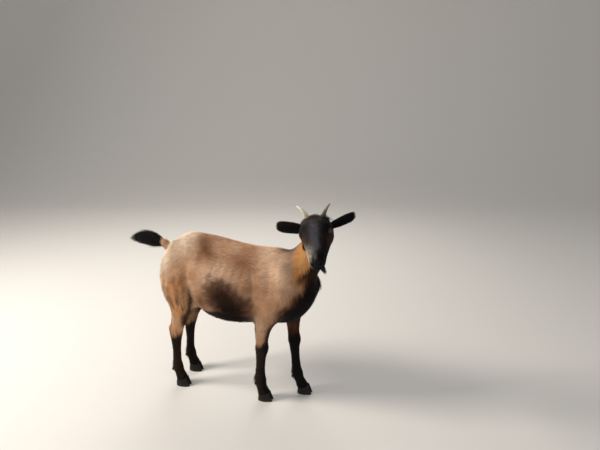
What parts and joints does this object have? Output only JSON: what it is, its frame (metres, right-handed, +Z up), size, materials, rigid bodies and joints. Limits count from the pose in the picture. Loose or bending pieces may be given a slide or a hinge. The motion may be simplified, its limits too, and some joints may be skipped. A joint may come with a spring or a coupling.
{
  "type": "dutch landrace goat",
  "caption": "Life-size still model of a young tan and black goat that stands square with its head turned to its right, short horns out, ears level and tail held up",
  "frame": {"origin": "on the floor under the middle of the whole goat's box", "axes": "+X the way the goat's body faces, +Y its left, +Z up"},
  "size_m": [0.9354, 0.331, 0.8537],
  "materials": {
    "tan_coat": "short matt hair",
    "black_coat": "short hair with a soft sheen",
    "black_hair": "long loose hair",
    "dark_hair": "long loose hair",
    "pale_horn": "smooth horn, ringed near the root",
    "brown_horn": "smooth horn, ringed near the root",
    "hoof": "dull worn horn",
    "eye": "wet gloss"
  },
  "bodies": {
    "root": {"torso": "tan_coat", "neck": "tan_coat", "head": "black_coat", "ear_left": "black_coat", "ear_right": "black_coat", "eye_left": "eye", "eye_right": "eye", "horn_left": "brown_horn", "horn_right": "pale_horn", "beard": "dark_hair", "tail": "black_hair", "fore_leg_left_upper": "tan_coat", "fore_leg_left_lower": "black_coat", "fore_leg_left_claw_outer": "hoof", "fore_leg_left_dewclaw_outer": "hoof", "fore_leg_left_claw_inner": "hoof", "fore_leg_left_dewclaw_inner": "hoof", "fore_leg_right_upper": "tan_coat", "fore_leg_right_lower": "black_coat", "fore_leg_right_claw_outer": "hoof", "fore_leg_right_dewclaw_outer": "hoof", "fore_leg_right_claw_inner": "hoof", "fore_leg_right_dewclaw_inner": "hoof", "hind_leg_left_upper": "tan_coat", "hind_leg_left_lower": "black_coat", "hind_leg_left_claw_outer": "hoof", "hind_leg_left_dewclaw_outer": "hoof", "hind_leg_left_claw_inner": "hoof", "hind_leg_left_dewclaw_inner": "hoof", "hind_leg_right_upper": "tan_coat", "hind_leg_right_lower": "black_coat", "hind_leg_right_claw_outer": "hoof", "hind_leg_right_dewclaw_outer": "hoof", "hind_leg_right_claw_inner": "hoof", "hind_leg_right_dewclaw_inner": "hoof"}
  },
  "joints": []
}
